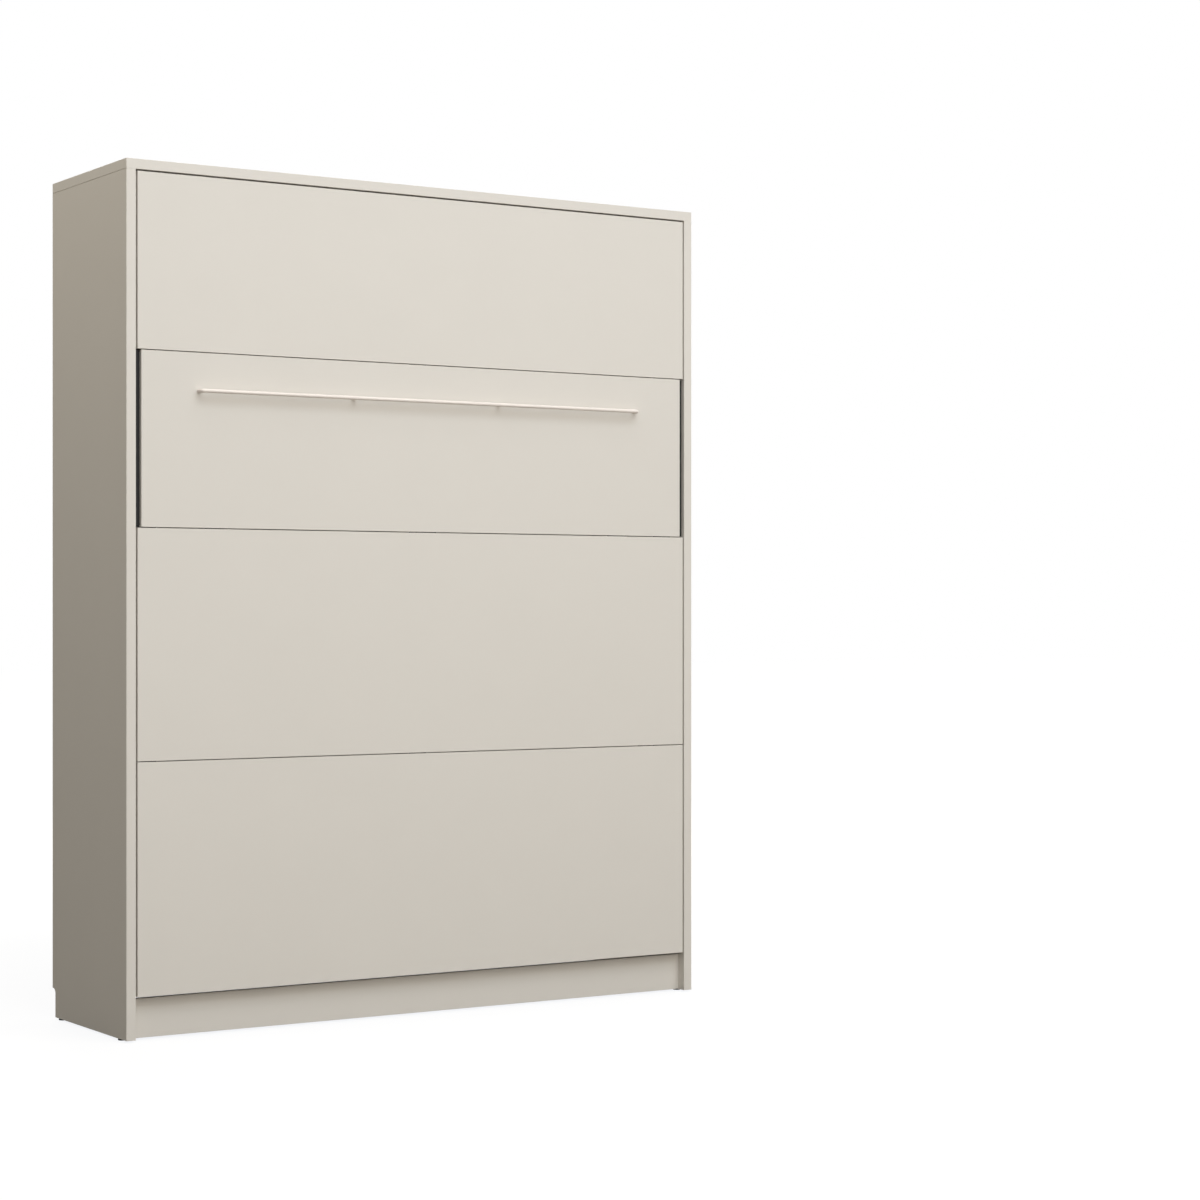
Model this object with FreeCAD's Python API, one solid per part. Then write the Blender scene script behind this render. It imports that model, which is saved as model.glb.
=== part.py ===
import FreeCAD, Part
import math
import os
from FreeCAD import Vector

# Cabinet. X runs across, Y to the back, Z up; depths are measured from the front edges of the sides.
cabinet_width = 1690.0
cabinet_height = 2180.0
cabinet_depth = 490.0
carcass_board = 25.0
board_edge_radius = 0.6
top_joint_height = 0.8
top_joint_depth = 2.0
cut_overrun = 2.0
parallel_share = 0.999
quarter_bend_share = 1 - math.sqrt(0.5)

# Floor glides and the notch for a skirting board
glide_height = 5.0
glide_radius = 11.0
glide_rim_radius = 1.0
glide_front_inset = 55.0
glide_rear_inset = 42.0
notch_depth = 20.0
notch_height = 75.0
notch_radius = 14.0

# Plinth
plinth_board = 16.0
plinth_recess = 28.0
plinth_floor_gap = 1.0
plinth_front_gap = 7.0
plinth_block_size = 25.0
plinth_block_height = 60.0
plinth_block_lift = 14.0

# Back sheets, joiner strips and rear rails
back_board = 3.0
back_recess = 9.0
back_lift = 6.0
back_sheet_count = 3
groove_depth = 8.0
groove_side_clearance = 0.15
groove_end_clearance = 0.5
strip_leg = 1.2
strip_web = 1.5
strip_overlap = 10.0
rail_board = 16.0
upper_rail_height = 150.0
lower_rail_height = 150.0
wall_hole_radius = 4.5
wall_hole_end_inset = 220.0

# Fittings between the top panel and the sides
cam_radius = 7.5
cam_depth = 12.5
cam_drop = 24.0
cam_end_inset = 50.0
cam_count = 3
cam_bolt_radius = 3.5
cam_bolt_in_top = 11.0
cam_bolt_clearance = 0.5
dowel_radius = 4.0
dowel_in_top = 10.0
dowel_in_side = 20.0
dowel_offset = 32.0

# Front panels
front_board = 16.0
front_side_gap = 4.5
front_top_gap = 4.5
front_bottom = 111.0
seam_gap = 2.2
seam_count = 3
leg_front_height = 438.0
lower_front_share = 0.3633
middle_front_share = 0.3618
leg_slit = 14.5

# Steel bed frame
frame_standoff = 6.0
frame_end_inset = 2.0
mechanism_gap = 33.0
stile_width = 30.0
stile_depth = 40.0
stile_wall = 2.0
stile_cap_head = 2.0
stile_cap_insert = 18.0
stile_cap_clearance = 0.2
cross_tube_depth = 20.0
cross_tube_height = 30.0
cross_tube_wall = 1.5
cross_tube_seam_drop = 32.0
centre_rail_width = 40.0
centre_rail_wall = 1.5

# Sprung slats and their holders
slat_count = 14
slat_end_inset = 75.0
slat_width = 53.0
slat_thickness = 8.0
slat_crown = 10.0
slat_centre_start = 6.0
slat_outer_inset = 5.0
holder_floor = 3.0
holder_roof = 3.0
holder_end_wall = 3.0
holder_rim = 6.0
holder_length = 38.0
holder_slat_clearance = 0.3
holder_edge_radius = 1.5
centre_holder_half = 34.0
centre_holder_wall = 5.0

# Front fixings
spacer_radius = 12.0
bracket_steel = 3.0
bracket_front_leg = 33.0
bracket_stile_leg = 36.0
bracket_height = 40.0
bracket_tube_gap = 10.0
bracket_screw_spread = 22.0

# Mattress board at the head end and hoops at the foot end and sides
head_board_thickness = 16.0
head_board_depth = 100.0
head_board_end_inset = 2.0
head_cleat_width = 20.0
head_cleat_slat_gap = 4.5
head_cleat_reach = 40.0
head_cleat_inset = 5.0
foot_hoop_radius = 5.0
foot_hoop_width = 184.0
foot_hoop_offset = 350.0
foot_hoop_reach = 128.0
foot_hoop_corner = 25.0
foot_hoop_top_drop = 7.0
side_hoop_radius = 4.0
side_hoop_reach = 108.0
side_hoop_corner = 20.0
side_hoop_shares = (0.3, 0.65)

# Bed pivot
pivot_depth = 60.0
cabinet_plate = 4.0
cabinet_plate_front = 35.0
cabinet_plate_rear = 92.0
cabinet_plate_half_height = 48.0
plate_corner_radius = 10.0
plate_screw_inset = 12.0
plate_screw_columns_count = 3
pin_radius = 8.0
pin_collar_radius = 13.0
pin_end_gap = 1.0
pin_collar_clearance = 0.4
bush_radius = 10.0
bush_flange_radius = 15.0
bush_flange = 2.0
bush_end_gap = 0.5
running_clearance = 0.05
bed_plate = 5.0
bed_plate_front_inset = 3.0
bed_plate_rear = 28.0
bed_plate_above = 32.0
bed_plate_below = 27.0
bed_boss_radius = 17.0
bed_boss_length = 11.0
bed_bolt_shares = (0.15, 0.38, 0.62, 0.90)

# Gas springs
gas_anchor_back = 215.0
gas_anchor_rise = 490.0
gas_bed_drop = 250.0
gas_tube_side_gap = 1.0
gas_tube_wall = 2.0
gas_tube_start = 24.0
gas_tube_end = 440.0
gas_tube_cap = 12.0
gas_gland = 22.0
gas_neck_radius = 6.0
gas_rod_radius = 5.0
gas_rod_overlap = 70.0
gas_piston_length = 12.0
gas_piston_clearance = 0.3
gas_eye_radius = 11.0
gas_eye_half_width = 6.0
gas_end_radius = 9.0
gas_end_half_width = 6.0
gas_end_clearance = 0.3
gas_stud_radius = 5.0
gas_clip_radius = 8.0
gas_clip = 2.0
gas_clip_clearance = 0.5
gas_plate_half = 30.0

# Support leg
leg_axis_depth = 7.0
leg_axis_drop = 10.5
leg_pad_height = 2.0
leg_pad_length = 60.0
leg_pad_width = 12.0
leg_pad_end_inset = 205.0
leg_pad_corner_radius = 4.0
lug_thickness = 6.0
lug_radius = 4.5
lug_slot_clearance = 0.5
lug_half_height = 30.0
lug_rear_inset = 6.0
lug_bolt_spread = 36.0
leg_pin_radius = 2.5
leg_pin_reach = 30.0
leg_pin_edge_gap = 0.5
leg_bar = 3.0
leg_bar_back_width = 30.0
leg_bar_side_gap = 2.0
leg_bar_top_gap = 6.0
leg_bar_bottom_gap = 12.0
leg_bar_lip_setback = 11.0
leg_bar_lip_end_gap = 1.0
leg_bar_screw_count = 4
leg_bar_screw_inset = 14.0
leg_bar_screw_end = 30.0
arm_thickness = 4.0
arm_weld_drop = 70.0
arm_weld_top_drop = 8.0
arm_eye_radius = 9.0
arm_edge_angle = 120.0
crank_pin_radius = 4.0
crank_pin_head_radius = 6.0
crank_pin_head = 1.5
crank_pin_clearance = 0.4

# Leg links
link_back = 40.0
link_rise = 26.0
link_thickness = 5.0
link_half_width = 8.0
link_eye_radius = 10.0
link_plate_clearance = 3.0
link_arm_clearance = 1.0
link_stud_radius = 5.0
link_stud_head_radius = 7.0
link_stud_head = 2.0

# Handle
handle_bar_radius = 5.0
handle_axis_out = 20.0
handle_drop = 96.0
handle_bend = 7.0
handle_post_inset = 153.75
handle_post_count = 4
handle_post_radius = 4.5
handle_screw_radius = 2.0
handle_screw_in_post = 9.0

# Closing stops
stop_steel = 3.0
stop_slat_gap = 7.5
stop_top_drop = 10.0
stop_reach_inset = 2.0
stop_flange = 40.0
stop_pad = 8.0
stop_pad_inset = 4.0
stop_clearance = 0.3
stop_screw_shares = (0.35, 0.8)

# Screws and bolts
screw_head_radius = 4.0
screw_head = 2.4
screw_shank_radius = 2.0
screw_grip = 13.0
short_screw_grip = 10.0
bolt_head_radius = 6.5
bolt_head = 4.0
bolt_shank_radius = 3.0
bolt_grip = 10.0
handle_screw_head_radius = 4.0
handle_screw_head = 2.4

# Places that follow from the sizes above
half_width = cabinet_width / 2
inner_x = half_width - carcass_board
side_bottom = glide_height
top_under = cabinet_height - carcass_board
back_rear = cabinet_depth - back_recess
back_front = back_rear - back_board
back_bottom = side_bottom + notch_height + back_lift
rail_front = back_front - rail_board
wall_hole_x = inner_x - wall_hole_end_inset

front_half = inner_x - front_side_gap
front_top = top_under - front_top_gap
fixed_fronts_height = front_top - front_bottom - leg_front_height - seam_count * seam_gap
lower_top = front_bottom + lower_front_share * fixed_fronts_height
middle_bottom = lower_top + seam_gap
middle_top = middle_bottom + middle_front_share * fixed_fronts_height
leg_bottom = middle_top + seam_gap
leg_top = leg_bottom + leg_front_height
upper_bottom = leg_top + seam_gap
leg_half = inner_x - leg_slit
leg_pad_x = leg_half - leg_pad_end_inset

stile_front = front_board + frame_standoff
stile_rear = stile_front + stile_depth
stile_outer = inner_x - mechanism_gap
stile_inner = stile_outer - stile_width
stile_middle_x = stile_outer - stile_width / 2
frame_bottom = front_bottom + frame_end_inset
frame_top = front_top - frame_end_inset
cross_rear = stile_front + cross_tube_depth
bracket_end_inset = cross_tube_seam_drop + cross_tube_height + bracket_tube_gap + bracket_height / 2
slat_pitch = (frame_top - frame_bottom - 2 * slat_end_inset) / (slat_count - 1)
slat_floor = stile_rear + holder_floor
holder_half_height = slat_width / 2 + holder_rim
slat_end_room = slat_end_inset - holder_half_height
head_cleat_rise = slat_end_room - head_board_thickness - head_cleat_slat_gap
stop_height = slat_end_room - stop_top_drop - stop_slat_gap

leg_axis_y = leg_axis_depth
leg_axis_z = leg_top - leg_axis_drop
leg_reach = leg_axis_z - leg_bottom + leg_pad_height
pivot_y = pivot_depth
pivot_z = leg_reach + pivot_depth - leg_axis_depth

cabinet_plate_x = inner_x - cabinet_plate
bed_plate_x = stile_outer + bed_plate
link_outer_x = cabinet_plate_x - link_plate_clearance
link_inner_x = link_outer_x - link_thickness
arm_outer_x = link_inner_x - link_arm_clearance
arm_inner_x = arm_outer_x - arm_thickness
gas_x = (bed_plate_x + cabinet_plate_x) / 2
gas_tube_radius = (cabinet_plate_x - bed_plate_x) / 2 - gas_tube_side_gap
gas_tube_bore = gas_tube_radius - gas_tube_wall
gas_anchor_y = pivot_y + gas_anchor_back
gas_anchor_z = pivot_z + gas_anchor_rise
gas_bed_z = pivot_z - gas_bed_drop
gas_length = math.hypot(gas_anchor_back, gas_anchor_rise + gas_bed_drop)
gas_tilt = -math.degrees(math.atan2(gas_anchor_back, gas_anchor_rise + gas_bed_drop))
handle_z = leg_top - handle_drop
handle_projection = handle_axis_out + handle_bar_radius

# The origin lies at the bottom centre of the whole piece, handle included.
origin_shift = Vector(0, (handle_projection - cabinet_depth) / 2, 0)

X_AXIS = Vector(1, 0, 0)
Y_AXIS = Vector(0, 1, 0)
Z_AXIS = Vector(0, 0, 1)


def box(x0, x1, y0, y1, z0, z1):
    return Part.makeBox(x1 - x0, y1 - y0, z1 - z0, Vector(x0, y0, z0))


def board(x0, x1, y0, y1, z0, z1, radius=board_edge_radius):
    """A board or block with all its edges lightly rounded."""
    plain = box(x0, x1, y0, y1, z0, z1)
    return plain.makeFillet(radius, plain.Edges)


def corner_rounded(shape, radius, axis):
    """The shape with the edges that run along one axis rounded."""
    edges = [e for e in shape.Edges
             if abs(e.tangentAt(e.FirstParameter).dot(axis)) > parallel_share]
    return shape.makeFillet(radius, edges)


def rod_x(x0, x1, y, z, radius):
    return Part.makeCylinder(radius, x1 - x0, Vector(x0, y, z), X_AXIS)


def rod_y(y0, y1, x, z, radius):
    return Part.makeCylinder(radius, y1 - y0, Vector(x, y0, z), Y_AXIS)


def rod_z(z0, z1, x, y, radius):
    return Part.makeCylinder(radius, z1 - z0, Vector(x, y, z0), Z_AXIS)


def plate_x(points, x0, x1):
    """A plate across X with the given outline of (depth, height) points."""
    corners = [Vector(x0, y, z) for y, z in points]
    face = Part.Face(Part.makePolygon(corners + corners[:1]))
    return face.extrude(Vector(x1 - x0, 0, 0))


def fused(first, *others):
    return first.fuse(list(others)).removeSplitter()


def mirrored(shape):
    return shape.mirror(Vector(0, 0, 0), X_AXIS)


def both(shape):
    """The shape on the right together with its mirror image on the left."""
    return Part.makeCompound([shape, mirrored(shape)])


def group(shapes):
    return Part.makeCompound(list(shapes))


def spread(first, last, count):
    return [first + (last - first) * i / (count - 1) for i in range(count)]


def screw(place, direction, grip, head_radius=screw_head_radius, head=screw_head,
          shank_radius=screw_shank_radius):
    """A screw whose head rests at the place and whose shank runs in the direction."""
    cap = Part.makeCylinder(head_radius, head, place, direction * -1)
    shank = Part.makeCylinder(shank_radius, grip, place, direction)
    return fused(cap, shank)


def bolt(place, direction):
    return screw(place, direction, bolt_grip, bolt_head_radius, bolt_head, bolt_shank_radius)


def tube(x0, x1, y0, y1, z0, z1, wall, axis):
    """A rectangular steel tube, open at both ends along the axis."""
    wall_x = 0 if axis is X_AXIS else wall
    wall_z = 0 if axis is Z_AXIS else wall
    outer = box(x0, x1, y0, y1, z0, z1)
    hollow = box(x0 + wall_x, x1 - wall_x, y0 + wall, y1 - wall, z0 + wall_z, z1 - wall_z)
    return outer.cut(hollow)


def bent_rod(corners, bend, radius):
    """A round rod bent in one plane through four corner points."""
    a, b, c, d = corners
    ab = (b - a).normalize()
    bc = (c - b).normalize()
    cd = (d - c).normalize()
    slack = bend * quarter_bend_share
    b0, b1 = b - ab * bend, b + bc * bend
    c0, c1 = c - bc * bend, c + cd * bend
    b_mid = b + (bc - ab) * slack
    c_mid = c + (cd - bc) * slack
    path = Part.Wire([
        Part.makeLine(a, b0), Part.Arc(b0, b_mid, b1).toShape(),
        Part.makeLine(b1, c0), Part.Arc(c0, c_mid, c1).toShape(),
        Part.makeLine(c1, d)])
    ring = Part.Wire([Part.makeCircle(radius, a, ab)])
    return path.makePipeShell([ring], True, False)


# Cabinet pieces

def glide_pieces():
    """Round glides under the sides, with their lower rims rounded."""
    x = half_width - carcass_board / 2
    pieces = []
    for y in (glide_front_inset, cabinet_depth - glide_rear_inset):
        disc = rod_z(0, glide_height, x, y, glide_radius)
        rim = [e for e in disc.Edges if e.CenterOfMass.z < glide_rim_radius]
        glide = disc.makeFillet(glide_rim_radius, rim)
        pieces += [glide, mirrored(glide)]
    return group(pieces)


def cam_depths():
    return spread(cam_end_inset, cabinet_depth - cam_end_inset, cam_count)


def cam_lock_pieces():
    z = top_under - cam_drop
    return both(group(rod_x(inner_x, inner_x + cam_depth, y, z, cam_radius) for y in cam_depths()))


def cam_bolt_pieces():
    x = inner_x + carcass_board / 2
    z0 = top_under - cam_drop + cam_radius + cam_bolt_clearance
    z1 = top_under + cam_bolt_in_top
    return both(group(rod_z(z0, z1, x, y, cam_bolt_radius) for y in cam_depths()))


def dowel_pieces():
    x = inner_x + carcass_board / 2
    places = [y + dowel_offset for y in cam_depths()[:-1]]
    z0 = top_under - dowel_in_side
    z1 = top_under + dowel_in_top
    return both(group(rod_z(z0, z1, x, y, dowel_radius) for y in places))


def cabinet_plate_holes():
    row = cabinet_plate_half_height - plate_screw_inset
    columns = spread(plate_screw_inset - cabinet_plate_front, cabinet_plate_rear - plate_screw_inset,
                     plate_screw_columns_count)
    return [(pivot_y + c, pivot_z + r) for c in columns for r in (-row, row)]


def gas_plate_holes():
    reach = gas_plate_half - plate_screw_inset
    return [(gas_anchor_y + a, gas_anchor_z + b) for a in (-reach, reach) for b in (-reach, reach)]


def stop_range():
    z1 = frame_top - stop_top_drop
    return z1 - stop_height, z1


def stop_pad_rear():
    return stile_rear + stop_clearance + stop_pad


def hardware_screw_pieces():
    """Screws that hold the steel fittings to the cabinet sides, their heads sunk flush."""
    z0, z1 = stop_range()
    stop_y = [stop_pad_rear() + stop_flange * share for share in stop_screw_shares]
    plates = [screw(Vector(cabinet_plate_x + screw_head, y, z), X_AXIS, screw_grip)
              for y, z in cabinet_plate_holes() + gas_plate_holes()]
    stops = [screw(Vector(inner_x - stop_steel + screw_head, y, (z0 + z1) / 2), X_AXIS, screw_grip)
             for y in stop_y]
    return both(group(plates + stops))


def back_groove_box(x0, x1, z0, z1):
    return box(x0, x1, back_front - groove_side_clearance, back_rear + groove_side_clearance, z0, z1)


def notch_shape():
    """The rear bottom cut-out for a skirting board, rounded in its inner corner."""
    y0 = cabinet_depth - notch_depth
    z1 = side_bottom + notch_height
    x0 = inner_x - cut_overrun
    x1 = half_width + cut_overrun
    plain = box(x0, x1, y0, cabinet_depth + cut_overrun, side_bottom - cut_overrun, z1)
    corner = Vector((x0 + x1) / 2, y0, z1)
    inner = [e for e in plain.Edges if e.CenterOfMass.isEqual(corner, board_edge_radius)]
    return plain.makeFillet(notch_radius, inner)


def top_joint():
    """The fine open joint along the outside, where the top panel lies on a side."""
    return box(half_width - top_joint_depth, half_width + cut_overrun,
               -cut_overrun, cabinet_depth + cut_overrun,
               top_under - top_joint_height, top_under + cut_overrun)


def side_panel():
    panel = board(inner_x, half_width, 0, cabinet_depth, side_bottom, top_under)
    groove = back_groove_box(inner_x - cut_overrun, inner_x + groove_depth,
                             back_bottom - groove_end_clearance, top_under + cut_overrun)
    return panel.cut([notch_shape(), groove, top_joint()])


def top_panel():
    panel = board(-half_width, half_width, 0, cabinet_depth, top_under, cabinet_height)
    reach = inner_x + groove_depth
    groove = back_groove_box(-reach, reach, top_under - cut_overrun, top_under + groove_depth)
    return panel.cut([groove, cam_bolt_pieces(), dowel_pieces()])


def plinth_panel():
    return board(-inner_x, inner_x, plinth_recess, plinth_recess + plinth_board,
                 side_bottom + plinth_floor_gap, front_bottom - plinth_front_gap)


def plinth_block_pieces():
    y0 = plinth_recess + plinth_board
    z0 = side_bottom + plinth_block_lift
    return both(board(inner_x - plinth_block_size, inner_x, y0, y0 + plinth_block_size,
                      z0, z0 + plinth_block_height))


def rear_rail(z0, z1):
    rail = board(-inner_x, inner_x, rail_front, back_front, z0, z1)
    return rail.cut(wall_hole_tools((z0 + z1) / 2))


def wall_hole_tools(z):
    return [rod_y(rail_front - cut_overrun, cabinet_depth, x, z, wall_hole_radius)
            for x in (-wall_hole_x, wall_hole_x)]


def upper_rail_range():
    return top_under - upper_rail_height, top_under


def lower_rail_range():
    return back_bottom, back_bottom + lower_rail_height


def back_joint_heights():
    return spread(back_bottom, top_under + groove_depth - groove_end_clearance, back_sheet_count + 1)


def back_sheet(index):
    heights = back_joint_heights()
    z0 = heights[index] + (strip_web / 2 if index > 0 else 0)
    z1 = heights[index + 1] - (strip_web / 2 if index + 1 < back_sheet_count else 0)
    reach = inner_x + groove_depth - groove_end_clearance
    sheet = box(-reach, reach, back_front, back_rear, z0, z1)
    middles = [sum(lower_rail_range()) / 2, sum(upper_rail_range()) / 2]
    return sheet.cut([tool for z in middles for tool in wall_hole_tools(z)])


def joiner_strip_pieces():
    """H-shaped strips that join the back sheets."""
    reach = inner_x - groove_end_clearance
    strips = []
    for z in back_joint_heights()[1:-1]:
        web = box(-reach, reach, back_front, back_rear, z - strip_web / 2, z + strip_web / 2)
        front = box(-reach, reach, back_front - strip_leg, back_front, z - strip_overlap, z + strip_overlap)
        rear = box(-reach, reach, back_rear, back_rear + strip_leg, z - strip_overlap, z + strip_overlap)
        strips.append(fused(web, front, rear))
    return group(strips)


def cabinet_pivot_plate_pieces():
    plate = box(cabinet_plate_x, inner_x, pivot_y - cabinet_plate_front, pivot_y + cabinet_plate_rear,
                pivot_z - cabinet_plate_half_height, pivot_z + cabinet_plate_half_height)
    return both(corner_rounded(plate, plate_corner_radius, X_AXIS).cut(hardware_screw_pieces()))


def bed_pivot_pin_pieces():
    collar_x = bed_plate_x + bed_boss_length + bush_flange + pin_collar_clearance
    collar = rod_x(collar_x, cabinet_plate_x, pivot_y, pivot_z, pin_collar_radius)
    journal = rod_x(stile_outer + pin_end_gap, cabinet_plate_x, pivot_y, pivot_z, pin_radius)
    return both(fused(collar, journal))


def link_stud_pieces():
    y = pivot_y + link_back
    z = pivot_z + link_rise
    head_x = link_inner_x - link_arm_clearance
    shaft = rod_x(head_x, cabinet_plate_x, y, z, link_stud_radius)
    head = rod_x(head_x - link_stud_head, head_x, y, z, link_stud_head_radius)
    return both(fused(shaft, head))


def gas_anchor_pieces():
    """Plates on the sides with a stud and clip for the upper eye of each gas spring."""
    y, z, h = gas_anchor_y, gas_anchor_z, gas_plate_half
    plate = corner_rounded(box(cabinet_plate_x, inner_x, y - h, y + h, z - h, z + h),
                           plate_corner_radius, X_AXIS)
    clip_x = gas_x - gas_eye_half_width - gas_clip_clearance
    stud = rod_x(clip_x, cabinet_plate_x, y, z, gas_stud_radius)
    clip = rod_x(clip_x - gas_clip, clip_x, y, z, gas_clip_radius)
    return both(fused(plate, stud, clip).cut(hardware_screw_pieces()))


def stop_bracket_pieces():
    z0, z1 = stop_range()
    y0 = stop_pad_rear()
    arm = box(stile_inner + stop_reach_inset, inner_x, y0, y0 + stop_steel, z0, z1)
    flange = box(inner_x - stop_steel, inner_x, y0, y0 + stop_flange, z0, z1)
    return both(fused(arm, flange).cut(hardware_screw_pieces()))


def stop_pad_pieces():
    z0, z1 = stop_range()
    pad = board(stile_inner + stop_pad_inset, stile_outer - stop_pad_inset,
                stile_rear + stop_clearance, stop_pad_rear(), z0, z1)
    return both(pad)


# Bed pieces

def bracket_heights():
    """Heights of the fixing brackets: two on each front panel that stays with the frame."""
    ends = [(front_bottom, lower_top), (middle_bottom, middle_top), (upper_bottom, front_top)]
    return [z for z0, z1 in ends for z in (z0 + bracket_end_inset, z1 - bracket_end_inset)]


def bracket_pieces():
    z_half = bracket_height / 2
    pieces = []
    for z in bracket_heights():
        side = box(stile_inner - bracket_steel, stile_inner, front_board, front_board + bracket_stile_leg,
                   z - z_half, z + z_half)
        foot = box(stile_inner - bracket_front_leg, stile_inner, front_board,
                   front_board + bracket_steel, z - z_half, z + z_half)
        pieces.append(fused(side, foot))
    return both(group(pieces)).cut(bracket_screw_pieces())


def bracket_screw_pieces():
    foot_x = stile_inner - bracket_front_leg / 2
    side_y = (stile_front + front_board + bracket_stile_leg) / 2
    pieces = []
    for z in bracket_heights():
        for side in (-bracket_screw_spread / 2, bracket_screw_spread / 2):
            into_front = Vector(foot_x, front_board + bracket_steel, z + side)
            into_stile = Vector(stile_inner - bracket_steel, side_y, z + side)
            pieces.append(screw(into_front, Y_AXIS * -1, short_screw_grip))
            pieces.append(screw(into_stile, X_AXIS, short_screw_grip))
    return both(group(pieces))


def front_panel(z0, z1):
    panel = board(-front_half, front_half, 0, front_board, z0, z1)
    return panel.cut(bracket_screw_pieces())


def spacer_pieces():
    return both(group(rod_y(front_board, stile_front, stile_middle_x, z, spacer_radius)
                      for z in bracket_heights()))


def stile():
    body = tube(stile_inner, stile_outer, stile_front, stile_rear, frame_bottom + stile_cap_head,
                frame_top - stile_cap_head, stile_wall, Z_AXIS)
    return body.cut([bracket_screw_pieces(), frame_bolt_pieces()])


def stile_cap_pieces():
    inset = stile_wall + stile_cap_clearance
    x0, x1 = stile_inner + inset, stile_outer - inset
    y0, y1 = stile_front + inset, stile_rear - inset
    low_head = box(stile_inner, stile_outer, stile_front, stile_rear, frame_bottom,
                   frame_bottom + stile_cap_head)
    low_plug = box(x0, x1, y0, y1, frame_bottom, frame_bottom + stile_cap_insert)
    high_head = box(stile_inner, stile_outer, stile_front, stile_rear, frame_top - stile_cap_head,
                    frame_top)
    high_plug = box(x0, x1, y0, y1, frame_top - stile_cap_insert, frame_top)
    return both(group([fused(low_head, low_plug), fused(high_head, high_plug)]))


def cross_tube_heights():
    """Bottom heights of the cross tubes, from the head end to the foot end."""
    return [frame_bottom + stile_cap_head, lower_top - cross_tube_seam_drop,
            middle_top - cross_tube_seam_drop, upper_bottom + cross_tube_seam_drop,
            frame_top - stile_cap_head - cross_tube_height]


def cross_tube_pieces():
    return group(tube(-stile_inner, stile_inner, stile_front, cross_rear, z, z + cross_tube_height,
                      cross_tube_wall, X_AXIS) for z in cross_tube_heights())


def centre_rail():
    half = centre_rail_width / 2
    return tube(-half, half, cross_rear, stile_rear, frame_bottom + stile_cap_head,
                frame_top - stile_cap_head, centre_rail_wall, Z_AXIS)


def slat_heights():
    return [frame_bottom + slat_end_inset + slat_pitch * i for i in range(slat_count)]


def slat(z):
    """One sprung slat on the right, straight at its ends and bowed between them."""
    x0 = slat_centre_start
    x1 = centre_holder_half
    x3 = stile_outer - holder_length
    x4 = stile_outer - slat_outer_inset
    x2 = (x1 + x3) / 2
    z0 = z - slat_width / 2
    low, high = slat_floor, slat_floor + slat_thickness
    edges = []
    for y in (low, high):
        a, b, c, d = (Vector(x, y, z0) for x in (x0, x1, x3, x4))
        top = Vector(x2, y + slat_crown, z0)
        edges += [Part.makeLine(a, b), Part.Arc(b, top, c).toShape(), Part.makeLine(c, d)]
    for x in (x0, x4):
        edges.append(Part.makeLine(Vector(x, low, z0), Vector(x, high, z0)))
    outline = Part.Wire(Part.__sortEdges__(edges))
    return Part.Face(outline).extrude(Vector(0, 0, slat_width))


def slat_row():
    return group(slat(z) for z in slat_heights())


def holder_pocket(x0, x1, z):
    half = slat_width / 2 + holder_slat_clearance
    return box(x0, x1, slat_floor - holder_slat_clearance,
               slat_floor + slat_thickness + holder_slat_clearance, z - half, z + half)


def holder_block(x0, x1, z):
    return board(x0, x1, stile_rear, slat_floor + slat_thickness + holder_roof,
                 z - holder_half_height, z + holder_half_height, holder_edge_radius)


def outer_holder_pieces():
    x0 = stile_outer - holder_length
    pieces = []
    for z in slat_heights():
        pocket = holder_pocket(x0 - cut_overrun, stile_outer - holder_end_wall, z)
        pieces.append(holder_block(x0, stile_outer, z).cut(pocket))
    return both(group(pieces))


def centre_holder_pieces():
    half = centre_holder_half
    pieces = []
    for z in slat_heights():
        right = holder_pocket(centre_holder_wall, half + cut_overrun, z)
        pieces.append(holder_block(-half, half, z).cut([right, mirrored(right)]))
    return group(pieces)


def bed_plate_range():
    return pivot_z - gas_bed_drop - bed_plate_below, pivot_z + bed_plate_above


def bed_plate_pieces():
    """Plates on the stiles with a boss for the pivot bush and a seat for the gas-spring end."""
    z0, z1 = bed_plate_range()
    plate = box(stile_outer, bed_plate_x, stile_front + bed_plate_front_inset,
                pivot_y + bed_plate_rear, z0, z1)
    plate = corner_rounded(plate, plate_corner_radius, X_AXIS)
    boss = rod_x(bed_plate_x, bed_plate_x + bed_boss_length, pivot_y, pivot_z, bed_boss_radius)
    seat_x = gas_x - gas_end_half_width - gas_end_clearance
    seat = rod_x(bed_plate_x, seat_x, pivot_y, gas_bed_z, gas_end_radius)
    bore = rod_x(stile_outer - cut_overrun, cabinet_plate_x, pivot_y, pivot_z, bush_radius)
    return both(fused(plate, boss, seat).cut([bore, frame_bolt_pieces()]))


def bush_pieces():
    end_x = bed_plate_x + bed_boss_length
    sleeve = rod_x(stile_outer + bush_end_gap, end_x, pivot_y, pivot_z, bush_radius)
    flange = rod_x(end_x, end_x + bush_flange, pivot_y, pivot_z, bush_flange_radius)
    bore = rod_x(stile_outer, cabinet_plate_x, pivot_y, pivot_z, pin_radius + running_clearance)
    return both(fused(sleeve, flange).cut(bore))


def frame_bolt_pieces():
    """Bolts that hold the pivot plates and the leg lugs to the stiles."""
    z0, z1 = bed_plate_range()
    y = stile_front + stile_depth / 2
    bolts = [bolt(Vector(bed_plate_x, y, z0 + (z1 - z0) * share), X_AXIS * -1)
             for share in bed_bolt_shares]
    for side in (-lug_bolt_spread / 2, lug_bolt_spread / 2):
        bolts.append(bolt(Vector(stile_outer + lug_thickness, y, leg_axis_z + side), X_AXIS * -1))
    return both(group(bolts))


def head_board():
    reach = stile_outer - head_board_end_inset
    return board(-reach, reach, stile_rear, stile_rear + head_board_depth, frame_bottom,
                 frame_bottom + head_board_thickness)


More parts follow.
